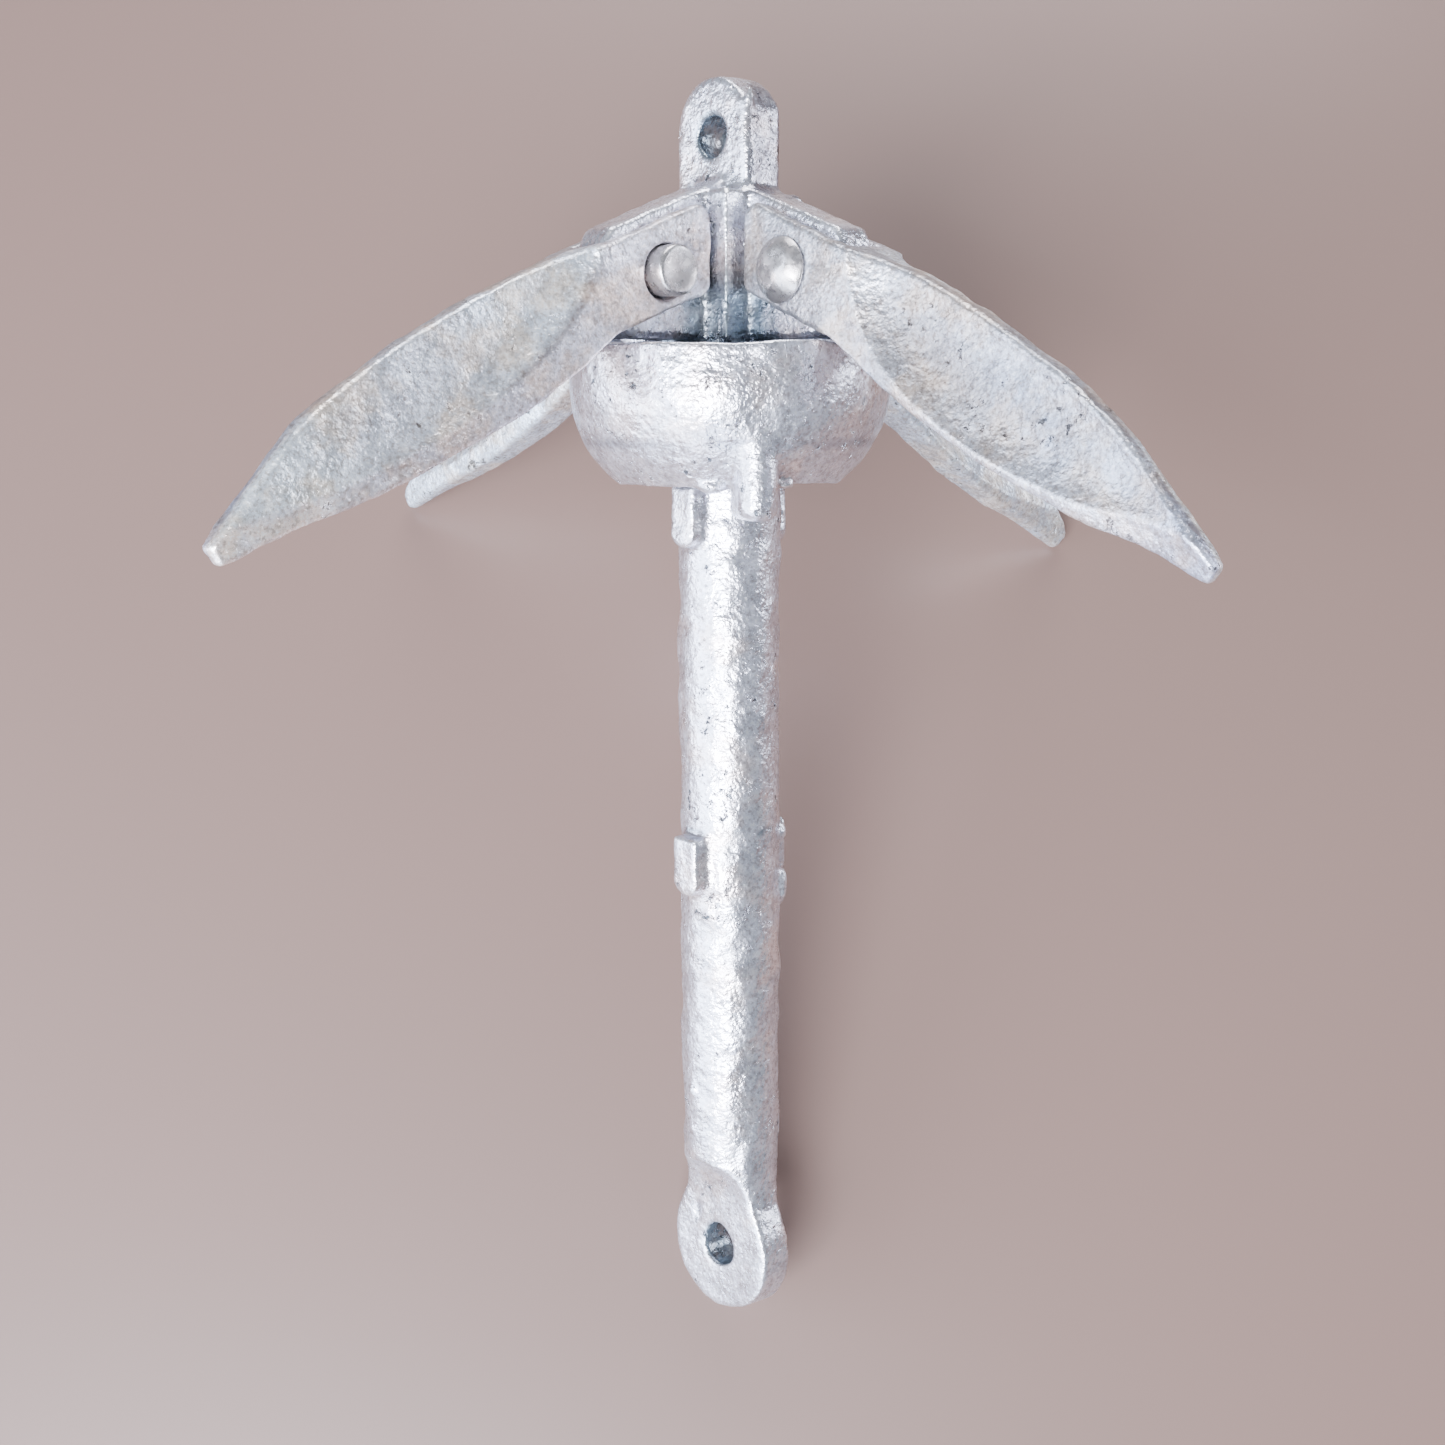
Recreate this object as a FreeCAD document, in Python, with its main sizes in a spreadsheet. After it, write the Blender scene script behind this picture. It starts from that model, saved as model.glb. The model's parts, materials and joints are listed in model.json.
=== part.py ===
import FreeCAD, Part

import math
import os

import Sketcher
from FreeCAD import Placement, Rotation, Vector

# Four-fluke folding anchor, hot-dip galvanised, lying with its flukes open.
#
# Every piece is drawn in the anchor's own frame and then laid down:
#   Z    along the shank, towards the crown, zero at the open collar's lower face
#   X,Y  along the four crown ribs, so the flukes swing in the XZ and YZ planes
# A fluke is drawn in a frame of its own, with the hinge pin along Y at the origin,
# X from the pin to the tip and Z towards the crown side of the blade.
# Laid down, the anchor rests on two fluke tips and the rode eye, on the plane Z = 0.

SIZES = {
    # shank and its two pairs of lugs
    "shank_radius": 10.0,
    "shank_foot": -151.0,
    "shank_head": 22.0,
    "lug_reach": 13.1,
    "lug_width": 6.8,
    "lug_length": 12.2,
    "upper_lug_top": -0.4,
    "lower_lug_top": -71.5,
    # rode eye at the foot of the shank
    "rode_eye_height": -162.3,
    "rode_eye_radius": 14.1,
    "rode_eye_thickness": 8.2,
    "rode_hole_radius": 4.3,
    "rode_neck_half_width": 9.0,
    "rode_neck_sweep": 18.0,
    "rode_neck_top": -136.0,
    "scoop_top": -141.5,
    "scoop_clearance": 0.2,
    # crown: square core, four ribs and the trip-line eye
    "core_width": 20.4,
    "core_foot": 14.0,
    "core_top": 56.0,
    "rib_thickness": 8.4,
    "rib_radius": 13.1,
    "rib_slope": 21.0,
    "rib_crest": 56.3,
    "rib_foot": 27.6,
    "crown_eye_height": 68.0,
    "crown_eye_radius": 10.0,
    "crown_eye_thickness": 9.2,
    "crown_hole_height": 67.0,
    "crown_hole_radius": 4.2,
    # hinges
    "hinge_radius": 22.4,
    "hinge_height": 40.0,
    "pin_radius": 4.7,
    "pin_hole_radius": 4.8,
    "head_radius": 6.4,
    "head_rise": 3.4,
    "tail_rise": 0.6,
    "side_play": 0.3,
    # flukes; each hangs at its own angle, as far as its loose rivet lets it
    "open_angle": 29.5,
    "upper_right_angle": 30.1,
    "lower_right_angle": 33.0,
    "lower_left_angle": 26.8,
    "upper_left_angle": 28.1,
    "fork_width": 15.0,
    "fork_slot": 9.0,
    "slot_radius": 14.3,
    "ear_end_radius": 11.4,
    "ear_rise": 14.4,
    "ear_drop": 3.2,
    "ear_low_round": 2.5,
    "ear_high_round": 2.2,
    "fluke_length": 104.5,
    "web_thickness": 4.4,
    "tip_thickness": 2.4,
    # collar
    "bore_radius": 10.6,
    "cup_height": 26.6,
    "cup_radius": 32.0,
    "cup_shoulder": 20.0,
    "cup_base_radius": 21.9,
    "cup_wall": 3.8,
    "cup_floor": 7.0,
    "keyway_width": 8.2,
    "keyway_reach": 14.0,
    "wing_root": 19.0,
    "wing_reach": 29.5,
    "wing_width": 7.4,
    "wing_drop": 6.4,
    "wing_top": 12.0,
    "wing_angle": -31.5,
    # longer than any piece, for cuts that go right through
    "through": 400.0,
    # how the open anchor lies
    "lie_tilt": 24.03,
    "lie_roll": -45.05,
}

# Blade profile in the fluke's own frame, as (along, across) points from the neck to the tip.
NECK_HIGH = (8.5, 9.9)
NECK_LOW = (16.0, -5.5)
OUTER_EDGE = [(30, 12.8), (52, 13.3), (66, 12.6), (79, 10.5), (92, 6.1)]
INNER_EDGE = [(90, -3.7), (76, -6.3), (61, -8.0), (42, -8.6), (28, -7.5)]
TIP_HIGH = (102.6, 2.3)
TIP_LOW = (102.3, -2.5)
# Half thickness of the blade along its length, beyond the fork.
BLADE_TAPER = [(26, 5.9), (42, 4.8), (72, 3.9)]
# Rim of the pan that is dished into both sides of the blade: inner side, then outer side.
PAN_INNER = [(15.5, 8.9), (20, 4.7), (27, -1.0), (36, -4.6), (48, -6.1), (62, -5.6), (78, -3.0), (92, 2.2)]
PAN_OUTER = [(92, 2.2), (89, 6.0), (78, 9.2), (55, 11.5), (32, 11.2), (15.5, 8.9)]

# Name of each fluke's place and its angle about the shank, in the anchor's own frame.
PLACES = {"upper_right": 0.0, "lower_right": 90.0, "lower_left": 180.0, "upper_left": 270.0}

# Ends of edges closer than this, in mm, are one point.
SAME_POINT = 1e-6
# A cut that takes less than this, in cubic mm, has missed the body.
LEAST_CUT = 1.0

doc = FreeCAD.newDocument("folding_anchor")


def make_sheet():
    sheet = doc.addObject("Spreadsheet::Sheet", "sizes")
    for row, (alias, value) in enumerate(SIZES.items(), start=1):
        sheet.set("A%d" % row, alias)
        sheet.set("B%d" % row, str(value))
        sheet.setAlias("B%d" % row, alias)
    doc.recompute()
    return sheet


sheet = make_sheet()


def size(alias):
    return float(getattr(sheet, alias))


# ---------------------------------------------------------------- drawing helpers

def new_body(label):
    body = doc.addObject("PartDesign::Body", label)
    body.Label = label
    return body


def new_sketch(body, name, role, height=""):
    """An empty sketch on one of the body's origin planes, or at a height bound to the sheet."""
    plane = next(item for item in body.Origin.OriginFeatures if item.Role == role)
    sketch = body.newObject("Sketcher::SketchObject", name)
    sketch.AttachmentSupport = [(plane, "")]
    sketch.MapMode = "FlatFace"
    if height:
        sketch.setExpression("AttachmentOffset.Base.z", height)
    return sketch


def point(x, y):
    return Vector(x, y, 0)


def end_number(sketch, index, place):
    """Which end of an edge lies at this place: 1 for its start, 2 for its end."""
    return 1 if sketch.getPoint(index, 1).distanceToPoint(place) < SAME_POINT else 2


def add_loop(sketch, edges):
    """Adds edges that follow each other round a closed loop, and ties their ends."""
    first = sketch.GeometryCount
    for edge in edges:
        sketch.addGeometry(edge, False)
    for index, edge in enumerate(edges):
        here = first + index
        following = first + (index + 1) % len(edges)
        ends = [end_number(sketch, number, edge.EndPoint) for number in (here, following)]
        sketch.addConstraint(Sketcher.Constraint("Coincident", here, ends[0], following, ends[1]))


def straight(points):
    """Straight edges along a row of points."""
    return [Part.LineSegment(start, end) for start, end in zip(points, points[1:])]


def ring(points):
    """Straight edges round a closed row of points."""
    return straight(points + points[:1])


def curve(points):
    """One smooth edge through a row of points."""
    spline = Part.BSplineCurve()
    spline.interpolate(points)
    return spline


def rounded_corner(before, corner, after, radius):
    """The arc that rounds a corner, with its two ends."""
    inward = (before - corner).normalize()
    outward = (after - corner).normalize()
    half_angle = inward.getAngle(outward) / 2
    reach = radius / math.tan(half_angle)
    middle = (inward + outward).normalize() * (radius / math.sin(half_angle) - radius)
    start = corner + inward * reach
    end = corner + outward * reach
    return start, Part.Arc(start, corner + middle, end), end


def add_circle(sketch, name, centre, alias):
    """A circle whose radius is bound to a cell of the sheet."""
    index = sketch.addGeometry(Part.Circle(centre, Vector(0, 0, 1), size(alias)), False)
    radius = sketch.addConstraint(Sketcher.Constraint("Radius", index, size(alias)))
    sketch.renameConstraint(radius, name)
    sketch.setExpression("Constraints." + name, "sizes." + alias)


def pad(body, name, sketch, length, symmetric=True):
    """Adds material along the sketch's normal; length is an expression on the sheet."""
    feature = body.newObject("PartDesign::Pad", name)
    feature.Profile = sketch
    feature.setExpression("Length", length)
    if symmetric:
        feature.SideType = "Symmetric"
    doc.recompute()
    return feature


def cut(body, name, sketch, length):
    """Cuts evenly to both sides of the sketch; length is an expression on the sheet."""
    before = body.Shape.Volume
    feature = body.newObject("PartDesign::Pocket", name)
    feature.Profile = sketch
    feature.SideType = "Symmetric"
    feature.setExpression("Length", length)
    doc.recompute()
    require_less(body, before)
    return feature


def cut_through(body, name, sketch):
    """Cuts right through the body, both ways."""
    return cut(body, name, sketch, "sizes.through")


def revolve(body, name, sketch, axis):
    feature = body.newObject("PartDesign::Revolution", name)
    feature.Profile = sketch
    feature.ReferenceAxis = (sketch, [axis])
    feature.Angle = 360
    doc.recompute()
    return feature


def groove(body, name, sketch, axis):
    before = body.Shape.Volume
    feature = body.newObject("PartDesign::Groove", name)
    feature.Profile = sketch
    feature.ReferenceAxis = (sketch, [axis])
    feature.Angle = 360
    doc.recompute()
    require_less(body, before)
    return feature


def require_less(body, before):
    if body.Shape.Volume > before - LEAST_CUT:
        raise RuntimeError("a cut in %s takes nothing away" % body.Label)


# ---------------------------------------------------------------- shank casting

def shank_rod(body):
    sketch = new_sketch(body, "rod_section", "XY_Plane", "sizes.shank_foot")
    add_circle(sketch, "rod_radius", point(0, 0), "shank_radius")
    pad(body, "rod", sketch, "sizes.shank_head - sizes.shank_foot", symmetric=False)


def shank_lugs(body):
    """Two pairs of flat-topped lugs with round lower ends, on the Y sides of the rod."""
    sketch = new_sketch(body, "lug_outline", "XZ_Plane")
    half = size("lug_width") / 2
    for top in (size("upper_lug_top"), size("lower_lug_top")):
        shoulder = top - size("lug_length") + half
        left, right = point(-half, shoulder), point(half, shoulder)
        nose = Part.Arc(left, point(0, shoulder - half), right)
        sides = straight([right, point(half, top), point(-half, top), left])
        add_loop(sketch, [nose] + sides)
    pad(body, "lugs", sketch, "2 * sizes.lug_reach")


def rode_eye(body):
    """A round flat eye; its neck sweeps out from the rod, and scoops thin the rod to it."""
    height = size("rode_eye_height")
    radius = size("rode_eye_radius")
    neck = size("rode_neck_half_width")
    sweep = size("rode_neck_sweep")
    top = size("rode_neck_top")
    rise = math.sqrt((radius + sweep) ** 2 - (neck + sweep) ** 2)
    touch_x = (neck + sweep) * radius / (radius + sweep)
    touch_z = height + rise * radius / (radius + sweep)
    turn = math.atan2(rise, neck + sweep) / 2
    sweep_x = neck + sweep * (1 - math.cos(turn))
    sweep_z = height + rise - sweep * math.sin(turn)

    def side(sign, *points):
        return [point(sign * x, z) for x, z in points]

    right = side(1, (neck, top), (neck, height + rise), (sweep_x, sweep_z), (touch_x, touch_z))
    left = side(-1, (neck, top), (neck, height + rise), (sweep_x, sweep_z), (touch_x, touch_z))
    edges = [
        Part.LineSegment(left[0], right[0]),
        Part.LineSegment(right[0], right[1]),
        Part.Arc(right[1], right[2], right[3]),
        Part.Arc(right[3], point(0, height - radius), left[3]),
        Part.Arc(left[3], left[2], left[1]),
        Part.LineSegment(left[1], left[0]),
    ]
    outline = new_sketch(body, "rode_eye_outline", "XZ_Plane")
    add_loop(outline, edges)
    pad(body, "rode_eye_plate", outline, "sizes.rode_eye_thickness")

    scoops = new_sketch(body, "rode_scoops", "YZ_Plane")
    flat = size("rode_eye_thickness") / 2
    foot = size("shank_foot")
    scoop_top = size("scoop_top")
    outside = size("shank_radius") + size("scoop_clearance")
    reach = ((outside - flat) ** 2 + (scoop_top - foot) ** 2) / (2 * (outside - flat))
    half_turn = math.asin((scoop_top - foot) / reach) / 2
    middle_y = flat + reach * (1 - math.cos(half_turn))
    middle_z = foot + reach * math.sin(half_turn)
    below = foot - 2 * flat
    far = 2 * outside
    for sign in (1, -1):
        start = point(sign * flat, foot)
        end = point(sign * outside, scoop_top)
        scoop = Part.Arc(start, point(sign * middle_y, middle_z), end)
        rest = [end, point(sign * far, scoop_top), point(sign * far, below)]
        add_loop(scoops, [scoop] + straight(rest + [point(sign * flat, below), start]))
    cut_through(body, "scoops", scoops)

    hole = new_sketch(body, "rode_hole_outline", "XZ_Plane")
    add_circle(hole, "rode_hole_radius", point(0, height), "rode_hole_radius")
    cut_through(body, "rode_hole", hole)


def crown(body):
    """Square core, four ribs that carry the hinges, and the trip-line eye on top."""
    half = size("core_width") / 2
    core = new_sketch(body, "core_section", "XY_Plane", "sizes.core_foot")
    corners = [point(-half, -half), point(half, -half), point(half, half), point(-half, half)]
    add_loop(core, ring(corners))
    pad(body, "core", core, "sizes.core_top - sizes.core_foot", symmetric=False)

    # A rib runs down from the core in a straight crest and ends in an arc about its hinge.
    rib = new_sketch(body, "rib_outline", "XZ_Plane")
    hinge = size("hinge_height")
    radius = size("rib_radius")
    slope = math.radians(size("rib_slope"))
    centre = point(size("hinge_radius"), hinge)
    foot = size("rib_foot")
    foot_turn = math.acos((hinge - foot) / radius)
    crest = size("rib_crest")
    crest_above_hinge = (crest - hinge - (centre.x - half) * math.tan(slope)) * math.cos(slope)
    top_turn = slope + math.acos(crest_above_hinge / radius)
    nose_top = centre + point(math.sin(top_turn), math.cos(top_turn)) * radius
    nose = centre + point(radius, 0)
    nose_foot = centre - point(math.sin(foot_turn), math.cos(foot_turn)) * radius
    shoulder = point(half, crest)
    inside = [shoulder, point(0, crest), point(0, foot), point(half, foot)]
    add_loop(rib, [Part.Arc(nose_foot, nose, nose_top)] + straight([nose_top] + inside + [nose_foot]))
    rib_pad = pad(body, "rib", rib, "sizes.rib_thickness")
    ribs = body.newObject("PartDesign::PolarPattern", "ribs")
    ribs.Originals = [rib_pad]
    axis = next(item for item in body.Origin.OriginFeatures if item.Role == "Z_Axis")
    ribs.Axis = (axis, [""])
    ribs.Angle = 360
    ribs.Occurrences = len(PLACES)
    body.Tip = ribs
    doc.recompute()

    height = size("crown_eye_height")
    wide = size("crown_eye_radius")
    root = hinge
    eye = new_sketch(body, "crown_eye_outline", "XZ_Plane")
    arch = Part.Arc(point(wide, height), point(0, height + wide), point(-wide, height))
    sides = straight([point(-wide, height), point(-wide, root), point(wide, root), point(wide, height)])
    add_loop(eye, [arch] + sides)
    pad(body, "crown_eye", eye, "sizes.crown_eye_thickness")
    hole = new_sketch(body, "crown_hole_outline", "XZ_Plane")
    centre = point(0, size("crown_hole_height"))
    add_circle(hole, "crown_hole_radius", centre, "crown_hole_radius")
    cut_through(body, "crown_hole", hole)

    for role, name in (("XZ_Plane", "pin_holes_x"), ("YZ_Plane", "pin_holes_y")):
        holes = new_sketch(body, name + "_outline", role)
        for side, sign in (("first", 1), ("second", -1)):
            centre = point(sign * size("hinge_radius"), hinge)
            add_circle(holes, side + "_radius", centre, "pin_hole_radius")
        cut_through(body, name, holes)


def make_shank():
    body = new_body("shank")
    shank_rod(body)
    shank_lugs(body)
    rode_eye(body)
    crown(body)
    return body


# ---------------------------------------------------------------- flukes

def fluke_outline():
    """The blade and its ears seen from the side, from the ears round to the tip and back."""
    angle = math.radians(size("open_angle"))
    along = point(-math.sin(angle), math.cos(angle))
    back = size("ear_end_radius") - size("hinge_radius")
    ear_end = point(back * math.cos(angle), back * math.sin(angle))
    low_corner = ear_end - along * size("ear_drop")
    high_corner = ear_end + along * size("ear_rise")
    neck_high, neck_low = point(*NECK_HIGH), point(*NECK_LOW)
    tip_high, tip_low = point(*TIP_HIGH), point(*TIP_LOW)
    rounds = size("ear_low_round"), size("ear_high_round")
    low_start, low_arc, low_end = rounded_corner(neck_low, low_corner, high_corner, rounds[0])
    high_start, high_arc, high_end = rounded_corner(low_corner, high_corner, neck_high, rounds[1])
    outer = [neck_high] + [point(*place) for place in OUTER_EDGE] + [tip_high]
    inner = [tip_low] + [point(*place) for place in INNER_EDGE] + [neck_low]
    return [
        low_arc,
        Part.LineSegment(low_end, high_start),
        high_arc,
        Part.LineSegment(high_end, neck_high),
        curve(outer),
        Part.Arc(tip_high, point(size("fluke_length"), 0), tip_low),
        curve(inner),
        Part.LineSegment(neck_low, low_start),
    ]


def fluke_sides(body):
    """Thins the blade from the width of the fork to the tip."""
    sketch = new_sketch(body, "blade_sides", "XY_Plane")
    half = size("fork_width") / 2
    start = size("slot_radius")
    beyond = size("fluke_length") + start
    tip_half = size("tip_thickness") / 2
    profile = [(start, half)] + BLADE_TAPER + [(beyond, tip_half)]
    for sign in (1, -1):
        side = [point(x, sign * y) for x, y in profile]
        corners = [side[-1], point(beyond, sign * 2 * half), point(start, sign * 2 * half), side[0]]
        add_loop(sketch, [curve(side)] + straight(corners))
    cut_through(body, "blade_taper", sketch)


def fluke_pans(body):
    """Dishes both sides of the blade, and leaves the web between the two pans."""
    edges = [curve([point(x, z) for x, z in row]) for row in (PAN_INNER, PAN_OUTER)]
    pans = new_sketch(body, "pan_outline", "XZ_Plane")
    add_loop(pans, edges)
    cut_through(body, "pans", pans)
    web = new_sketch(body, "web_outline", "XZ_Plane")
    add_loop(web, edges)
    pad(body, "web", web, "sizes.web_thickness")


def fluke_fork(body):
    """The slot between the ears, round where it ends, that straddles a crown rib, and the hole."""
    radius = size("slot_radius")
    behind = -2 * radius
    slot = new_sketch(body, "fork_slot_outline", "XZ_Plane")
    end = Part.Arc(point(0, radius), point(radius, 0), point(0, -radius))
    corners = [point(0, -radius), point(behind, -radius), point(behind, 2 * radius)]
    add_loop(slot, [end] + straight(corners + [point(0, 2 * radius), point(0, radius)]))
    cut(body, "fork_slot", slot, "sizes.fork_slot")
    hole = new_sketch(body, "pin_hole_outline", "XZ_Plane")
    add_circle(hole, "pin_hole_radius", point(0, 0), "pin_hole_radius")
    cut_through(body, "pin_hole", hole)


def make_fluke(label):
    body = new_body(label)
    outline = new_sketch(body, "blade_outline", "XZ_Plane")
    add_loop(outline, fluke_outline())
    pad(body, "blade", outline, "sizes.fork_width")
    fluke_sides(body)
    fluke_pans(body)
    fluke_fork(body)
    return body


# ---------------------------------------------------------------- rivets

def make_rivet(label):
    """A hinge rivet along Y: domed head on one side, plain closed tail on the other."""
    body = new_body(label)
    sketch = new_sketch(body, "rivet_profile", "XY_Plane")
    radius = size("pin_radius")
    seat = size("fork_width") / 2 + size("side_play")
    tail = seat + size("tail_rise")
    head = size("head_radius")
    rise = size("head_rise")
    dome_radius = (head ** 2 + rise ** 2) / (2 * rise)
    half_turn = math.asin(head / dome_radius) / 2
    dome_side = dome_radius * math.sin(half_turn)
    dome_height = rise - dome_radius * (1 - math.cos(half_turn))
    chamfer = size("tail_rise")
    rim = point(head, -seat)
    crest = point(0, -seat - rise)
    dome = Part.Arc(crest, point(dome_side, -seat - dome_height), rim)
    rest = [rim, point(radius, -seat), point(radius, tail - chamfer), point(radius - chamfer, tail)]
    add_loop(sketch, [dome] + straight(rest + [point(0, tail), crest]))
    revolve(body, "rivet", sketch, "V_Axis")
    return body


# ---------------------------------------------------------------- collar

def shoulder_arc(base_radius, base_height, wall_radius, wall_height):
    """An arc that leaves the wall straight down and comes in to the base."""
    across = wall_radius - base_radius
    down = wall_height - base_height
    radius = (across ** 2 + down ** 2) / (2 * across)
    half_turn = math.asin(down / radius) / 2
    middle = point(
        wall_radius - radius * (1 - math.cos(half_turn)),
        wall_height - radius * math.sin(half_turn),
    )
    return Part.Arc(point(base_radius, base_height), middle, point(wall_radius, wall_height))


def make_collar():
    """The locking collar: a cup open to the crown that slides on the shank."""
    body = new_body("collar")
    top = size("cup_height")
    wall = size("cup_radius")
    shoulder = size("cup_shoulder")
    base = size("cup_base_radius")

    outside = new_sketch(body, "cup_outside", "XZ_Plane")
    arc = shoulder_arc(base, 0, wall, shoulder)
    upper = [point(wall, shoulder), point(wall, top), point(0, top), point(0, 0), point(base, 0)]
    add_loop(outside, [arc] + straight(upper))
    revolve(body, "cup", outside, "V_Axis")

    wings = new_sketch(body, "wing_section", "XY_Plane")
    half = size("wing_width") / 2
    turn = Rotation(Vector(0, 0, 1), size("wing_angle"))
    for sign in (1, -1):
        flank = size("wing_reach") - half
        corners = [(flank, half), (size("wing_root"), half), (size("wing_root"), -half), (flank, -half)]
        placed = [turn.multVec(point(sign * x, sign * y)) for x, y in corners]
        nose = turn.multVec(point(sign * size("wing_reach"), 0))
        add_loop(wings, [Part.Arc(placed[3], nose, placed[0])] + straight(placed))
    wings.setExpression("AttachmentOffset.Base.z", "-sizes.wing_drop")
    pad(body, "wings", wings, "sizes.wing_top + sizes.wing_drop", symmetric=False)

    inside = new_sketch(body, "cup_inside", "XZ_Plane")
    bore = size("bore_radius")
    floor = size("cup_floor")
    inner_wall = wall - size("cup_wall")
    inner_base = base - size("cup_wall")
    arc = shoulder_arc(inner_base, floor, inner_wall, shoulder)
    over = 2 * top
    around = [point(inner_wall, shoulder), point(inner_wall, over), point(0, over), point(0, -over)]
    around += [point(bore, -over), point(bore, floor), point(inner_base, floor)]
    add_loop(inside, [arc] + straight(around))
    groove(body, "cup_hollow", inside, "V_Axis")

    keyway = new_sketch(body, "keyway_section", "XY_Plane")
    half = size("keyway_width") / 2
    reach = size("keyway_reach")
    corners = [point(-half, -reach), point(half, -reach), point(half, reach), point(-half, reach)]
    add_loop(keyway, ring(corners))
    cut_through(body, "keyways", keyway)
    return body


# ---------------------------------------------------------------- assembly

def lay_down():
    """The turn from the anchor's own frame to how it lies."""
    tilt = Rotation(Vector(1, 0, 0), size("lie_tilt") - 90)
    roll = Rotation(Vector(0, 0, 1), size("lie_roll"))
    return Placement(Vector(), tilt * roll)


def hinge_place(angle, swing=0.0):
    """A hinge's frame on the rib at this angle about the shank, swung towards the rode eye."""
    around = Placement(Vector(), Rotation(Vector(0, 0, 1), angle))
    hinge = Vector(size("hinge_radius"), 0, size("hinge_height"))
    return around * Placement(hinge, Rotation(Vector(0, 1, 0), swing))


def check_and_write(bodies):
    for item in doc.Objects:
        if "Invalid" in item.State or "Error" in item.State:
            raise RuntimeError("%s failed: %s" % (item.Label, item.State))
    for body in bodies:
        shape = body.Shape
        if shape.isNull() or not shape.isValid() or len(shape.Solids) != 1:
            raise RuntimeError("%s is not one valid solid" % body.Label)
    os.makedirs("parts", exist_ok=True)
    for body in bodies:
        body.Shape.exportStep("parts/%s.step" % body.Label)


def main():
    lie = lay_down()
    places = {"shank": lie, "collar": lie}
    bodies = [make_shank(), make_collar()]
    for place, angle in PLACES.items():
        bodies.append(make_fluke("fluke_" + place))
        places["fluke_" + place] = lie * hinge_place(angle, size(place + "_angle"))
        bodies.append(make_rivet("rivet_" + place))
        places["rivet_" + place] = lie * hinge_place(angle)
    for body in bodies:
        body.Placement = places[body.Label]
    doc.recompute()
    box = FreeCAD.BoundBox()
    for body in bodies:
        box.add(body.Shape.optimalBoundingBox(False))
    stand = Placement(Vector(-box.Center.x, -box.Center.y, -box.ZMin), Rotation())
    for body in bodies:
        body.Placement = stand * places[body.Label]
    doc.recompute()
    check_and_write(bodies)
    for body in bodies:
        print("%-20s %8.1f mm3" % (body.Label, body.Shape.Volume))
    print("box %.2f x %.2f x %.2f mm" % (box.XLength, box.YLength, box.ZLength))
    print("moved by", stand.Base)


main()
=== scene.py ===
import json
import math

import bpy
import numpy as np
import openvdb
from mathutils import Matrix, Vector


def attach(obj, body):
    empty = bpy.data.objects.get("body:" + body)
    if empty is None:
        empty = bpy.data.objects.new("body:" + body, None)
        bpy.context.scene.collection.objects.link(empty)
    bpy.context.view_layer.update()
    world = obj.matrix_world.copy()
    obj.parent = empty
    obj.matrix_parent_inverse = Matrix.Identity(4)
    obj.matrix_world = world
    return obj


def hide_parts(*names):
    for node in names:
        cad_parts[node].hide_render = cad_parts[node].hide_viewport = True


# A galvanised folding anchor, lying with its flukes open.
# Each casting is modelled as a distance field on a grid of points, in millimetres, in the
# anchor's own frame: Z along the shank towards the crown, X and Y along the four ribs.
# A fluke's own frame has its pin along Y, X towards the tip and Z towards the crown side.
# A fluke's head side, under the rivet's domed head, is -Y, and its tail side is +Y.

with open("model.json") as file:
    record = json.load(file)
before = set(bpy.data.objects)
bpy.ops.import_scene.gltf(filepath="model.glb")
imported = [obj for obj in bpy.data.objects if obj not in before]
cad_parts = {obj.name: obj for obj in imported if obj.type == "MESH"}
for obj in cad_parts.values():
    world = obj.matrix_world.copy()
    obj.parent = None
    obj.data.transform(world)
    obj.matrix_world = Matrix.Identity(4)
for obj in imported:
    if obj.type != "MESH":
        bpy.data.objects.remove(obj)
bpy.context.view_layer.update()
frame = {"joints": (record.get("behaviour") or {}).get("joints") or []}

MM = 0.001
PLACES = ("upper_right", "lower_right", "lower_left", "upper_left")
# How far each fluke hangs below square to the shank, in degrees.
FLUKE_ANGLES = {"upper_right": 30.1, "lower_right": 33.0, "lower_left": 26.8, "upper_left": 28.1}

# Sizes in millimetres, as in the CAD, but for the rivets' tails, which stand prouder here, and
# the ears' upper corner, which is rounder.
HINGE_RADIUS, HINGE_HEIGHT = 22.4, 40.0
ROD_RADIUS, ROD_FOOT, ROD_HEAD = 10.0, -151.0, 22.0
LUG_REACH, LUG_WIDTH, LUG_LENGTH = 13.1, 6.8, 12.2
LUG_TOPS = (-0.4, -71.5)
RODE_EYE_HEIGHT, RODE_EYE_RADIUS, RODE_EYE_THICKNESS = -162.3, 14.1, 8.2
RODE_HOLE_RADIUS, NECK_HALF_WIDTH, NECK_TOP, SCOOP_TOP = 4.3, 9.0, -137.0, -141.5
CORE_WIDTH, CORE_FOOT, CORE_TOP = 20.4, 14.0, 56.0
RIB_THICKNESS, RIB_RADIUS, RIB_SLOPE, RIB_CREST, RIB_FOOT = 8.4, 13.1, 21.0, 56.3, 27.6
CROWN_EYE_HEIGHT, CROWN_EYE_RADIUS, CROWN_EYE_THICKNESS = 68.0, 10.0, 9.2
CROWN_HOLE_HEIGHT, CROWN_HOLE_RADIUS = 67.0, 4.2
PIN_RADIUS, PIN_HOLE_RADIUS, EAR_HOLE_RADIUS = 4.7, 4.8, 4.95
HEAD_RADIUS, HEAD_RISE, TAIL_RISE, SIDE_PLAY = 6.4, 3.4, 3.2, 0.3
FORK_WIDTH, FORK_SLOT, SLOT_RADIUS = 15.0, 9.0, 14.3
OPEN_ANGLE, EAR_END_RADIUS, EAR_RISE, EAR_DROP = 29.5, 11.4, 14.4, 3.2
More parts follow.
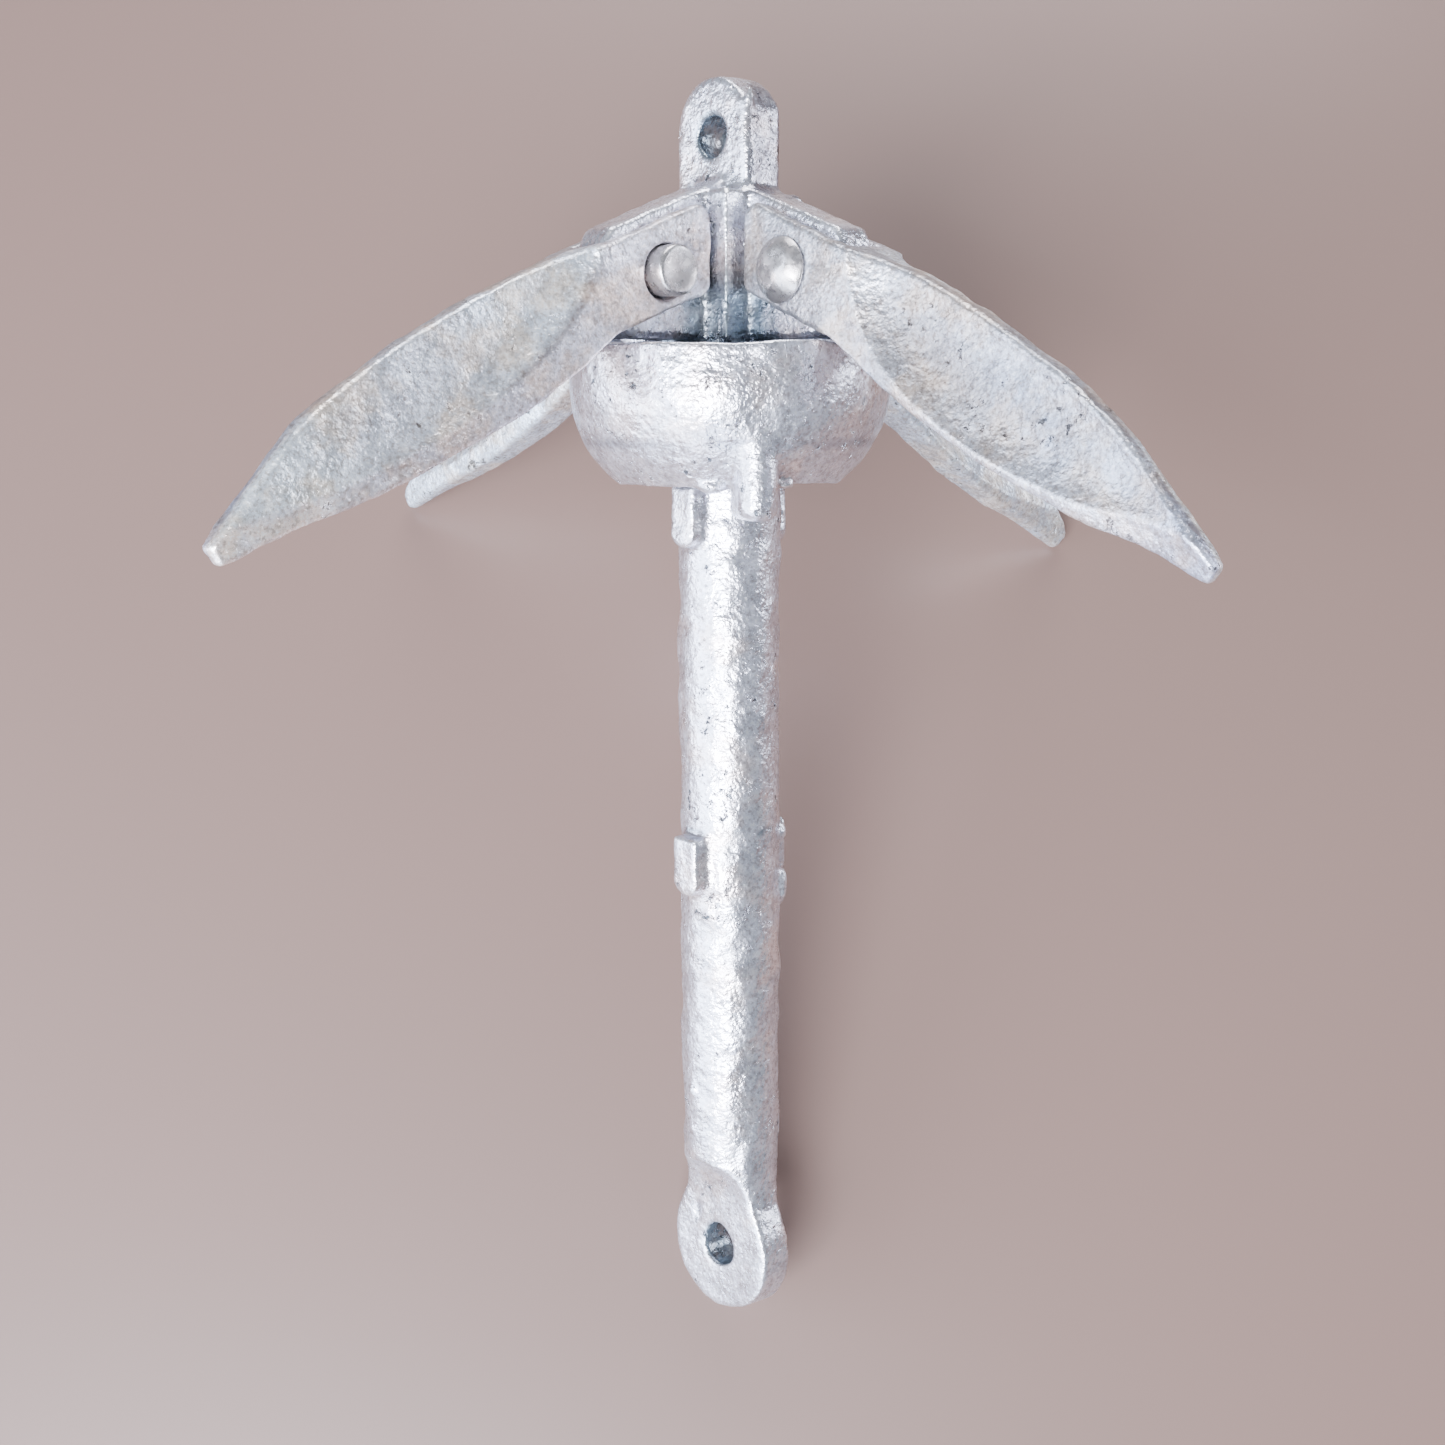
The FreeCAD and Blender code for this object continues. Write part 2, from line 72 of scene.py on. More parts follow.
EAR_LOW_ROUND, EAR_HIGH_ROUND = 2.5, 3.0
BORE_RADIUS, CUP_HEIGHT, CUP_RADIUS, CUP_SHOULDER = 10.6, 26.6, 32.0, 20.0
CUP_BASE_RADIUS, CUP_WALL, CUP_FLOOR = 21.9, 3.8, 7.0
KEYWAY_WIDTH, KEYWAY_REACH = 8.2, 14.0
WING_ROOT, WING_REACH, WING_WIDTH, WING_DROP, WING_TOP, WING_ANGLE = 19.0, 29.5, 7.4, 6.4, 12.0, -31.5

# Blade outline, (along, across), from the neck to the tip and back.
OUTER_EDGE = [
    (8.5, 9.9), (30, 12.8), (52, 13.3), (66, 12.6),
    (79, 10.5), (92, 6.1), (102.6, 2.3), (104.2, 1.2),
]
INNER_EDGE = [
    (104.2, -1.3), (102.3, -2.5), (90, -3.7), (76, -6.3),
    (61, -8.0), (42, -8.6), (28, -7.5), (16.0, -5.5),
]
# Where the flat of the ears ends and the dished pan begins, on the head side and the tail side.
HEAD_CREASE = [
    (12.5, 11.5), (15.8, 6.2), (20, 1.6), (26, -2.6), (36, -5.9),
    (50, -7.0), (64, -5.9), (77, -3.4), (88, 0.6), (97, 3.0),
]
TAIL_CREASE = [
    (11.5, 11.5), (13.5, 8.6), (20, 3.4), (30, -1.0), (45, -3.4),
    (60, -3.6), (77, -2.0), (91, 0.8), (99, 2.4),
]
# Half thickness of the blade along its length, on the rim and on the floor of the pan.
RIM_STATIONS = (14, 26, 42, 72, 104)
RIM_HALF = (7.5, 5.9, 4.8, 3.9, 2.4)
FLOOR_STATIONS = (20, 45, 80, 104)
FLOOR_HALF = (2.9, 2.2, 2.1, 2.2)
# Width of the ramp that leads down from the crease to the pan's floor.
RAMP_STATIONS = (15, 26, 40, 60, 100)
RAMP_WIDTH = (10, 9, 7.5, 6.5, 6)
RAMP_CURVE = 1.9
# How much the rim slopes away from the crease, and how far it does.
HEAD_BEVEL, TAIL_BEVEL, BEVEL_REACH = 0.34, 0.10, 6.0
HEAD_LIP, TAIL_LIP = 0.3, 0.0

# The seam down both sides of the rod, where the halves of the mould met.
FLASH_HEIGHT, FLASH_WIDTH, FLASH_FOOT, FLASH_TOP = 0.42, 1.7, -138, 12
# A dark seam line across the rod: its height, width and waviness.
SEAM_HEIGHT, SEAM_WIDTH, SEAM_WAVE = -70.4, 0.5, 0.8

# Lumps of the cast skin: (strength, pitch, seed).
SHANK_LUMPS = ((0.09, 7.0, 1), (0.05, 2.6, 2), (0.04, 1.5, 6))
COLLAR_LUMPS = ((0.15, 8.0, 11), (0.06, 2.8, 12), (0.04, 1.5, 13))
FLUKE_LUMPS = ((0.13, 6.0, 1), (0.07, 2.4, 2), (0.04, 1.4, 3))
RIVET_LUMPS = ((0.06, 4.0, 0), (0.02, 1.2, 1))
ROD_GRAIN, ROD_GRAIN_PITCH = 0.07, 1.6
HOLE_PITCH, RODE_HOLE_LUMPS, CROWN_HOLE_LUMPS = 2.4, 0.15, 0.28

# Centres of the casting pits in the rode eye, and their radii.
RODE_EYE_PITS = ((-6.8, -4.6, -156.6), (5.4, 4.6, -158.0))
RODE_PIT_RADII = (1.3, 1.5, 2.2)
# Drips and burrs of zinc on the shank: (centre, radii).
SHANK_BURRS = (
    ((-1.0, -9.6, -134.5), (0.9, 0.7, 0.7)),
    ((9.6, 1.2, -154.0), (0.7, 1.6, 0.8)),
    ((7.6, 7.4, -83.0), (1.3, 1.3, 3.6)),
    ((2.4, 12.2, -71.2), (0.8, 0.7, 1.0)),
    ((7.3, 7.6, -72.0), (1.0, 1.0, 1.8)),
    ((9.6, -3.4, 73.0), (0.6, 0.8, 1.8)),
    ((8.6, 4.0, 71.0), (0.7, 0.6, 1.2)),
    ((-0.6, -10.2, -126.0), (0.7, 0.5, 0.8)),
    ((-9.7, 2.0, -40.0), (0.7, 1.0, 1.6)),
)
# Runs of zinc beside the wing and under the cup: (centre, radii).
COLLAR_BURRS = (
    ((13.6, -16.6, -0.2), (2.4, 2.4, 1.2)),
    ((22.0, -6.0, 0.2), (1.6, 1.8, 0.8)),
    ((-20.5, 3.0, 0.0), (1.4, 1.4, 0.9)),
)

# Tints that multiply the zinc's own colour. Many are painted light: painted shade, painted highlights and
# a painted sheen. The others are the zinc's own tones and a dark seam.
PAINTED_SHADE_AND_SEAM, CUP_SHADE, CREASE_SHADE = (0.36, 0.42, 0.44), (0.42, 0.46, 0.50), (0.66, 0.60, 0.58)
SHADED_SIDE, LOWER_FLUKE_SHEEN, WORN = (0.58, 0.56, 0.57), (1.08, 1.16, 1.20), (0.92, 0.90, 0.88)
HEAD_SIDE_SHADE, HEAD_BEVEL_HIGHLIGHT, HEAD_TIP = (0.72, 0.71, 0.72), (1.75, 1.75, 1.78), (0.76, 0.80, 0.90)
TAIL_RIM, TAIL_RAMP_HIGHLIGHT, TAIL_TIP = (1.12, 1.05, 1.06), (1.24, 1.30, 1.32), (1.20, 1.24, 1.20)
PAN_BEIGE_SHADE, PAN_BLUE = (0.62, 0.56, 0.50), (0.62, 0.72, 0.86)

# Colours of the zinc: the bright castings, the duller flukes, their dark for painted shade in hollows and
# for pits, and the painted glints on specks and painted highlight on crests.
BRIGHT_COOL, BRIGHT_WARM, BRIGHT_SHADE_AND_PITS = (0.84, 0.86, 0.98), (0.95, 0.85, 0.86), (0.10, 0.12, 0.14)
DULL_COOL, DULL_WARM, DULL_SHADE_AND_PITS = (0.68, 0.73, 0.83), (0.80, 0.70, 0.63), (0.12, 0.11, 0.10)
SPARKLE, CREST_HIGHLIGHT = (0.97, 0.98, 1.0), (0.95, 0.97, 1.0)
STEEL_LIGHT, STEEL_DARK, STEEL_SHADE = (0.66, 0.64, 0.65), (0.50, 0.47, 0.47), (0.10, 0.10, 0.10)
FLOOR_COLOUR, FLOOR_ROUGHNESS, FLOOR_REACH = (0.166, 0.107, 0.090, 1.0), 0.38, 3.0

# The camera, in the anchor's own frame: its place in millimetres, where it looks and its upward side.
CAMERA_PLACE = (269.64, -251.71, 11.7)
CAMERA_LOOK = (-0.72407, 0.67027, -0.16267)
CAMERA_UP = (-0.11703, 0.11303, 0.98667)
CAMERA_LENS, CAMERA_SENSOR, CAMERA_CLIP = 45.18, 36.0, 0.01

# Lamps, in metres and watts: (name, place, size, power, colour).
LIGHTS = (
    ("key", (-0.32, -0.66, 1.00), (0.74, 0.50), 50, (0.90, 0.92, 1.0)),
    ("window", (-1.00, -0.30, 0.55), (1.1, 0.9), 30, (0.74, 0.83, 1.0)),
    ("front", (-0.30, -1.05, 0.30), (1.0, 0.5), 14, (0.72, 0.81, 1.0)),
    ("side", (1.15, 0.40, 0.22), (0.7, 0.3), 7, (0.84, 0.88, 1.0)),
    ("low", (-1.15, -0.10, 0.12), (0.8, 0.2), 4, (0.80, 0.86, 1.0)),
    ("back", (0.10, 1.05, 0.60), (0.8, 0.5), 15, (0.97, 0.96, 1.0)),
)
LIGHT_AIM = (0, 0.02, 0.06)
SKY_COLOUR, SKY_STRENGTH = (0.82, 0.90, 1.0, 1.0), 0.36

# Grid steps in millimetres, and how finely curves and arcs are divided.
SHANK_STEP, COLLAR_STEP, FLUKE_STEP, RIVET_STEP = 0.6, 0.55, 0.5, 0.3
CURVE_STEPS, ARC_STEPS, CORNER_STEPS = 8, 10, 5
# Distances past this are the same to the mesher, and lumps are scaled to about unit strength.
FAR, LUMP_SCALE = 9.0, 2.8


# ---------------------------------------------------------------- the anchor's own frame

def anchor_frame():
    """From the anchor's own frame, in millimetres, to the row frame, in metres."""
    joints = {joint["name"]: joint for joint in frame["joints"]}
    pins = [Vector(joints["fluke_%s_fold" % place]["pos_m"]) for place in PLACES]
    centre = sum(pins, Vector()) / len(pins)
    axis = -Vector(joints["collar_slide"]["axis"]).normalized()
    across = (pins[0] - centre).normalized()
    along = axis.cross(across)
    turn = Matrix((across, along, axis)).transposed().to_4x4()
    origin = centre - axis * HINGE_HEIGHT * MM
    return Matrix.Translation(origin) @ turn @ Matrix.Scale(MM, 4)


ANCHOR = anchor_frame()


def hinge_frame(index, swing=0.0):
    """The frame of a hinge pin, swung down by an angle in degrees."""
    around = Matrix.Rotation(index * math.pi / 2, 4, "Z")
    hinge = Matrix.Translation((HINGE_RADIUS, 0, HINGE_HEIGHT))
    return ANCHOR @ around @ hinge @ Matrix.Rotation(math.radians(swing), 4, "Y")


# ---------------------------------------------------------------- distance fields

class Block:
    """A box of grid points, in millimetres; x, y and z broadcast against each other."""

    def __init__(self, low, high, step):
        self.low = np.array(low, dtype=np.float32)
        self.step = step
        self.axes = [np.arange(a, b + step, step, dtype=np.float32) for a, b in zip(low, high)]
        self.x = self.axes[0][:, None, None]
        self.y = self.axes[1][None, :, None]
        self.z = self.axes[2][None, None, :]

    def lumps(self, pitch, seed):
        """Smooth random lumps about a pitch apart, the same on every run: a cubic spline on a lattice."""
        rows = []
        counts = []
        for axis in self.axes:
            places = (axis - axis[0]) / pitch + 1.0
            count = int(places[-1]) + 3
            gap = np.abs(places[:, None] - np.arange(count)[None, :])
            near = 2 / 3 - gap ** 2 + gap ** 3 / 2
            far = np.clip(2 - gap, 0, None) ** 3 / 6
            rows.append(np.where(gap < 1, near, far).astype(np.float32))
            counts.append(count)
        lattice = np.random.default_rng(seed).standard_normal(counts).astype(np.float32)
        for weights in rows:
            lattice = np.tensordot(lattice, weights, axes=(0, 1))
        return lattice * LUMP_SCALE


def union(a, b, blend):
    """Both shapes, with a smooth fillet where they meet."""
    gap = np.maximum(blend - np.abs(a - b), 0) / blend
    return np.minimum(a, b) - gap * gap * blend / 4


def both(a, b, blend):
    return -union(-a, -b, blend)


def cut(a, b, blend):
    return -union(-a, b, blend)


def slab(coordinate, low, high):
    return np.abs(coordinate - (low + high) / 2) - (high - low) / 2


def rounded(a, b, radius):
    """Where two distances are both inside, with their shared edge rounded off."""
    a = a + radius
    b = b + radius
    return np.minimum(np.maximum(a, b), 0) + np.hypot(np.maximum(a, 0), np.maximum(b, 0)) - radius


def ball(block, centre, radii):
    """A rough distance to an ellipsoid."""
    scaled = [(c - m) / r for c, m, r in zip((block.x, block.y, block.z), centre, radii)]
    return (np.sqrt(scaled[0] ** 2 + scaled[1] ** 2 + scaled[2] ** 2) - 1) * min(radii)


def polygon(x, z, points):
    """Distance to a closed outline, negative inside it."""
    nearest = np.full(np.broadcast(x, z).shape, np.inf, dtype=np.float32)
    inside = np.zeros(nearest.shape, dtype=bool)
    for (x0, z0), (x1, z1) in zip(points, points[1:] + points[:1]):
        run, rise = x1 - x0, z1 - z0
        share = np.clip(((x - x0) * run + (z - z0) * rise) / (run * run + rise * rise), 0, 1)
        nearest = np.minimum(nearest, (x - x0 - share * run) ** 2 + (z - z0 - share * rise) ** 2)
        if rise:
            crossed = ((z0 > z) != (z1 > z)) & (x < run * (z - z0) / rise + x0)
            inside ^= crossed
    return np.where(inside, -1.0, 1.0) * np.sqrt(nearest)


def curve_point(a, b, c, d, t):
    """One coordinate of a smooth curve from b to c, with a before them and d after."""
    square = 2 * a - 5 * b + 4 * c - d
    cube = 3 * b - a - 3 * c + d
    return 0.5 * (2 * b + (c - a) * t + square * t ** 2 + cube * t ** 3)


def smooth_line(points):
    """Points along a smooth curve through a few given ones."""
    ends = [points[0]] + list(points) + [points[-1]]
    line = []
    for knots in zip(ends, ends[1:], ends[2:], ends[3:]):
        for index in range(CURVE_STEPS):
            line.append(tuple(curve_point(*row, index / CURVE_STEPS) for row in zip(*knots)))
    return line + [tuple(points[-1])]


def rounded_corner(before, corner, after, radius):
    """Points along the arc that rounds a corner of an outline."""
    before, corner, after = (np.array(place, dtype=float) for place in (before, corner, after))
    inward = (before - corner) / np.linalg.norm(before - corner)
    outward = (after - corner) / np.linalg.norm(after - corner)
    middle = (inward + outward) / np.linalg.norm(inward + outward)
    half = math.acos(inward @ middle)
    centre = corner + middle * radius / math.sin(half)
    reach = radius / math.tan(half)
    arc = []
    for share in np.linspace(0, 1, CORNER_STEPS + 1):
        spoke = corner + (inward * (1 - share) + outward * share) * reach - centre
        arc.append(tuple(centre + spoke * radius / np.linalg.norm(spoke)))
    return arc


def cast_skin(body, block, lumps, seed=0):
    """Roughens a surface with lumps, each row a strength, a pitch and a seed."""
    for strength, pitch, number in lumps:
        body = body - strength * block.lumps(pitch, seed + number)
    return body


# ---------------------------------------------------------------- tints and meshing

def ease(value):
    value = np.clip(value, 0, 1)
    return value * value * (3 - 2 * value)


def between(value, start, end):
    """From 0 where a value is at its start to 1 where it is at its end, with a soft step."""
    return ease((value - start) / (end - start))


def spot(along, across, centre, spread):
    """A soft oval spot, 1 in its middle."""
    return np.exp(-((along - centre[0]) / spread[0]) ** 2 - ((across - centre[1]) / spread[1]) ** 2)


def wavy(points, pitch, phase):
    """Slow waves over the surface, from -1 to 1."""
    x, y, z = points.T / pitch
    return np.sin(x * 1.7 + 2 * np.sin(z + phase)) * np.sin(y * 2.1 + z * 1.3 + phase)


def shade(share, colour):
    """Moves a tint from white towards a colour by a share that differs from point to point."""
    return 1 - share[:, None] * (1 - np.array(colour, dtype=np.float32))


def no_tint(points):
    return np.ones((len(points), 3), dtype=np.float32)


def build(name, field, block, place, tint=no_tint):
    """Meshes the zero level of a field, tints its points and puts it in its place in the row frame."""
    grid = openvdb.FloatGrid(FAR)
    grid.copyFromArray(np.ascontiguousarray(np.clip(field, -FAR, FAR), dtype=np.float32))
    points, quads = grid.convertToQuads(0.0)
    points = points * block.step + block.low
    colours = np.ones((len(points), 4), dtype=np.float32)
    colours[:, :3] = tint(points)
    turn = np.array(place, dtype=np.float64)
    points = points @ turn[:3, :3].T + turn[:3, 3]
    mesh = bpy.data.meshes.new(name)
    mesh.vertices.add(len(points))
    mesh.vertices.foreach_set("co", points.astype(np.float32).ravel())
    mesh.loops.add(quads.size)
    mesh.loops.foreach_set("vertex_index", quads.astype(np.int32).ravel())
    mesh.polygons.add(len(quads))
    mesh.polygons.foreach_set("loop_start", np.arange(0, quads.size, 4, dtype=np.int32))
    mesh.polygons.foreach_set("use_smooth", np.ones(len(quads), dtype=bool))
    mesh.update(calc_edges=True)
    mesh.color_attributes.new("tint", "FLOAT_COLOR", "POINT").data.foreach_set("color", colours.ravel())
    thing = bpy.data.objects.new(name, mesh)
    bpy.context.scene.collection.objects.link(thing)
    return thing


# ---------------------------------------------------------------- shank casting

def shank_rod(block):
    return rounded(np.hypot(block.x, block.y) - ROD_RADIUS, slab(block.z, ROD_FOOT, ROD_HEAD), radius=1.0)


def parting_flash(block, rod):
    """The rough seam where the halves of the mould met, down both sides of the rod."""
    side = (block.x + block.y) * math.sqrt(0.5)
    across = (block.x - block.y) * math.sqrt(0.5)
    ragged = 0.55 + 0.45 * block.lumps(pitch=3.2, seed=21)
    band = np.exp(-(across / FLASH_WIDTH) ** 2) * (np.abs(side) > ROD_RADIUS / 2)
    band = band * ((block.z > FLASH_FOOT) & (block.z < FLASH_TOP))
    return rod - FLASH_HEIGHT * np.clip(ragged, 0, 1.6) * band


def shank_lugs(block):
    """Two pairs of lugs, flat on top and round at the foot."""
    half = LUG_WIDTH / 2
    lugs = []
    for top in LUG_TOPS:
        foot = top - LUG_LENGTH
        nose = np.hypot(block.x, block.z - foot - half) - half
        post = np.maximum(np.abs(block.x) - half, slab(block.z, foot + half, top))
        lugs.append(rounded(np.minimum(nose, post), np.abs(block.y) - LUG_REACH, radius=0.8))
    return np.minimum(*lugs)


def rode_eye(block):
    """The flat eye at the foot, with its neck sweeping up on to the rod."""
    disc = np.hypot(block.x, block.z - RODE_EYE_HEIGHT) - RODE_EYE_RADIUS
    neck = np.maximum(np.abs(block.x) - NECK_HALF_WIDTH, slab(block.z, RODE_EYE_HEIGHT, NECK_TOP))
    flat = union(disc, neck, blend=5.0)
    return rounded(flat, np.abs(block.y) - RODE_EYE_THICKNESS / 2, radius=1.3)


def rode_scoops(block):
    """The two hollows that thin the rod down to the eye."""
    flat = RODE_EYE_THICKNESS / 2
    rise = SCOOP_TOP - ROD_FOOT
    depth = ROD_RADIUS + 0.2 - flat
    reach = (depth ** 2 + rise ** 2) / (2 * depth)
    scoop = np.hypot(np.abs(block.y) - flat - reach, block.z - ROD_FOOT) - reach
    below = np.maximum(flat - np.abs(block.y), block.z - ROD_FOOT)
    return np.minimum(scoop, below)


def crown_core(block):
    flat = np.maximum(np.abs(block.x), np.abs(block.y)) - CORE_WIDTH / 2
    return rounded(flat, slab(block.z, CORE_FOOT, CORE_TOP), radius=1.1)


def crown_rib(block, along, across):
    """Two opposite ribs: a round nose at the hinge, a sloping crest and a level foot."""
    slope = math.radians(RIB_SLOPE)
    out = np.abs(along)
    nose = np.hypot(out - HINGE_RADIUS, block.z - HINGE_HEIGHT) - RIB_RADIUS
    crest = (out - CORE_WIDTH / 2) * math.sin(slope) + (block.z - RIB_CREST) * math.cos(slope)
    web = np.maximum(RIB_FOOT - block.z, out - HINGE_RADIUS)
    flat = np.maximum(np.minimum(nose, web), np.maximum(crest, RIB_FOOT - block.z))
    return rounded(flat, np.abs(across) - RIB_THICKNESS / 2, radius=0.9)


def crown_eye(block):
    arch = np.hypot(block.x, block.z - CROWN_EYE_HEIGHT) - CROWN_EYE_RADIUS
    post = np.maximum(np.abs(block.x) - CROWN_EYE_RADIUS, slab(block.z, HINGE_HEIGHT, CROWN_EYE_HEIGHT))
    return rounded(np.minimum(arch, post), np.abs(block.y) - CROWN_EYE_THICKNESS / 2, radius=1.1)


def ragged_hole(block, centre, radius, strength, seed):
    """A cast hole through the flat of an eye, with a lumpy wall."""
    return np.hypot(block.x, block.z - centre) - radius - strength * block.lumps(HOLE_PITCH, seed)


def shank_tint(points):
    """Painted shade in the eyes' holes and the crown's corners, a dark seam line across the rod, and
    painted shade on one side of the crown eye.
    """
    x, y, z = points.T
    # Painted shade: the crown's corners between the ears and the walls of both eyes' holes are darkened.
    shade_and_seam = between(np.hypot(x, y), 21, 14) * between(z, 16, 21) * between(z, 49, 35)
    for centre, radius in ((CROWN_HOLE_HEIGHT, CROWN_HOLE_RADIUS), (RODE_EYE_HEIGHT, RODE_HOLE_RADIUS)):
        wall = between(np.hypot(x, z - centre), radius + 0.9, radius + 0.1)
        shade_and_seam = np.maximum(shade_and_seam, wall)
    seam = np.exp(-((z - SEAM_HEIGHT + SEAM_WAVE * wavy(points, pitch=2.2, phase=1.0)) / SEAM_WIDTH) ** 2)
    shade_and_seam = np.maximum(shade_and_seam, seam * ease(0.6 + wavy(points, pitch=3.0, phase=0.4)))
    # Painted shade darkens one side of the crown eye.
    side = between(x + y, 4, 8) * between(z, 52, 56)
    return shade(shade_and_seam, PAINTED_SHADE_AND_SEAM) * shade(side, SHADED_SIDE)


def make_shank():
    block = Block((-39, -39, -181), (39, 39, 82), SHANK_STEP)
    rod = parting_flash(block, shank_rod(block))
    rod = union(rod, shank_lugs(block), blend=1.6)
    rod = union(rod, rode_eye(block), blend=2.0)
    rod = cut(rod, rode_scoops(block), blend=0.6)
    hole = ragged_hole(block, RODE_EYE_HEIGHT, RODE_HOLE_RADIUS, RODE_HOLE_LUMPS, seed=3)
    rod = cut(rod, hole, blend=1.2)
    for place in RODE_EYE_PITS:
        rod = cut(rod, ball(block, place, RODE_PIT_RADII), blend=0.8)
    core = union(crown_core(block), crown_eye(block), blend=1.4)
    ribs = np.minimum(crown_rib(block, block.x, block.y), crown_rib(block, block.y, block.x))
    core = union(core, ribs, blend=1.7)
    hole = ragged_hole(block, CROWN_HOLE_HEIGHT, CROWN_HOLE_RADIUS, CROWN_HOLE_LUMPS, seed=5)
    core = cut(core, hole, blend=1.0)
    body = union(rod, core, blend=1.6)
    for along in (block.x, block.y):
        pin = np.hypot(np.abs(along) - HINGE_RADIUS, block.z - HINGE_HEIGHT) - PIN_HOLE_RADIUS
        body = cut(body, pin, blend=0.3)
    for place, radii in SHANK_BURRS:
        body = union(body, ball(block, place, radii), blend=0.8)
    body = cast_skin(body, block, SHANK_LUMPS)
    # The rod between its eye and the collar has a finer grain as well.
    grainy = between(block.z, -150, -120) * between(block.z, 4, -4)
    body = body - ROD_GRAIN * grainy * block.lumps(ROD_GRAIN_PITCH, seed=7)
    return build("shank_casting", body, block, ANCHOR, shank_tint)


# ---------------------------------------------------------------- collar

def cup_outline(base, foot, wall, top):
    """Half of a cup's section, as (radius, height) points: a flat base, an arc and a straight wall."""
    across = wall - base
    down = CUP_SHOULDER - foot
    radius = (across ** 2 + down ** 2) / (2 * across)
    turn = math.asin(down / radius)
    arc = []
    for index in range(ARC_STEPS + 1):
        angle = turn * (1 - index / ARC_STEPS)
        arc.append((wall - radius * (1 - math.cos(angle)), CUP_SHOULDER - radius * math.sin(angle)))
    past_axis = -9
    return arc + [(wall, top), (past_axis, top), (past_axis, foot)]


def spun(block, outline):
    """The field of an outline turned about Z, read off a half plane that is worked out once."""
    reach = np.hypot(block.x, block.y)[:, :, 0] / block.step
    across = np.arange(0, reach.max() + 2, dtype=np.float32)[:, None] * block.step
    profile = polygon(across, block.axes[2][None, :], outline)
    lower = np.floor(reach).astype(int)
    share = (reach - lower)[:, :, None]
    return profile[lower] * (1 - share) + profile[lower + 1] * share


def collar_wings(block):
    """The two wings under the cup, opposite each other."""
    angle = math.radians(WING_ANGLE)
    out = block.x * math.cos(angle) + block.y * math.sin(angle)
    side = -block.x * math.sin(angle) + block.y * math.cos(angle)
    half = WING_WIDTH / 2
    fingers = []
    for sign in (1, -1):
        finger = np.hypot(np.maximum(sign * out - WING_REACH + half, 0), side) - half
        fingers.append(np.maximum(finger, WING_ROOT - sign * out))
    return rounded(np.minimum(*fingers), slab(block.z, -WING_DROP, WING_TOP), radius=2.4)


def collar_tint(points):
    """Painted shade: the inside of the cup is darker than its outside."""
    x, y, z = points.T
    inside = between(np.hypot(x, y), CUP_RADIUS - 2.2, CUP_RADIUS - 3.6)
    inside = inside * between(z, CUP_FLOOR - 1, CUP_FLOOR + 2)
    return shade(inside, CUP_SHADE)


def make_collar():
    block = Block((-35, -35, -9), (35, 35, 30), COLLAR_STEP)
    above = 2 * CUP_HEIGHT
    cup = spun(block, cup_outline(CUP_BASE_RADIUS, 0, CUP_RADIUS, CUP_HEIGHT))
    hollow = spun(block, cup_outline(CUP_BASE_RADIUS - CUP_WALL, CUP_FLOOR, CUP_RADIUS - CUP_WALL, above))
    body = union(cup, collar_wings(block), blend=1.8)
    body = cut(body, hollow, blend=1.6)
    body = cut(body, np.hypot(block.x, block.y) - BORE_RADIUS, blend=1.0)
    keyway = np.maximum(np.abs(block.x) - KEYWAY_WIDTH / 2, np.abs(block.y) - KEYWAY_REACH)
    body = cut(body, keyway, blend=1.0)
    for place, radii in COLLAR_BURRS:
        body = union(body, ball(block, place, radii), blend=1.2)
    body = cast_skin(body, block, COLLAR_LUMPS)
    return build("collar_cup", body, block, ANCHOR, collar_tint)


# ---------------------------------------------------------------- flukes

def fluke_outline():
    """The fluke from the side: the ears' end, parallel to the shank when open, then the blade's edges."""
    angle = math.radians(OPEN_ANGLE)
    along = np.array((-math.sin(angle), math.cos(angle)))
    back = EAR_END_RADIUS - HINGE_RADIUS
    end = np.array((back * math.cos(angle), back * math.sin(angle)))
    low, high = end - along * EAR_DROP, end + along * EAR_RISE
    ears = rounded_corner(INNER_EDGE[-1], low, high, EAR_LOW_ROUND)
    ears = ears + rounded_corner(low, high, OUTER_EDGE[0], EAR_HIGH_ROUND)
    return ears + smooth_line(OUTER_EDGE) + smooth_line(INNER_EDGE)


def past_crease(x, z, crease):
    """How far a point of the blade's side lies past the crease, into the pan."""
    line = smooth_line(crease)
    beyond_tip, above = 150, 60
    closed = line + [(beyond_tip, line[-1][1]), (beyond_tip, above), (line[0][0], above)]
    return -polygon(x, z, closed)


def blade_half(x, z, edge, crease, bevel, lip_height):
    """Half thickness of one side: flat ears, bevelled rim, ramp, the pan's floor and a lip at the edge."""
    rim = np.interp(x, RIM_STATIONS, RIM_HALF)
    floor = np.interp(x, FLOOR_STATIONS, FLOOR_HALF)
    ramp = np.interp(x, RAMP_STATIONS, RAMP_WIDTH)
    past = past_crease(x, z, crease)
    depth = np.clip(past / ramp, 0, 1)
    height = floor + (rim - floor) * (1 - depth) ** RAMP_CURVE
    height = height - bevel * np.clip(-past, 0, BEVEL_REACH) * between(x, 22, 42)
    lip = between(edge, -2.4, -0.8) * between(x, 30, 50) * (z > 0)
    return np.where(x < RIM_STATIONS[0], FORK_WIDTH / 2, height + lip_height * lip)


def fork_slot(block):
    """The slot between the ears, open behind and round where it ends."""
    round_end = np.hypot(block.x, block.z) - SLOT_RADIUS
    open_end = np.where(block.x < 0, -SLOT_RADIUS, round_end)
    return np.maximum(np.minimum(round_end, open_end), np.abs(block.y) - FORK_SLOT / 2)


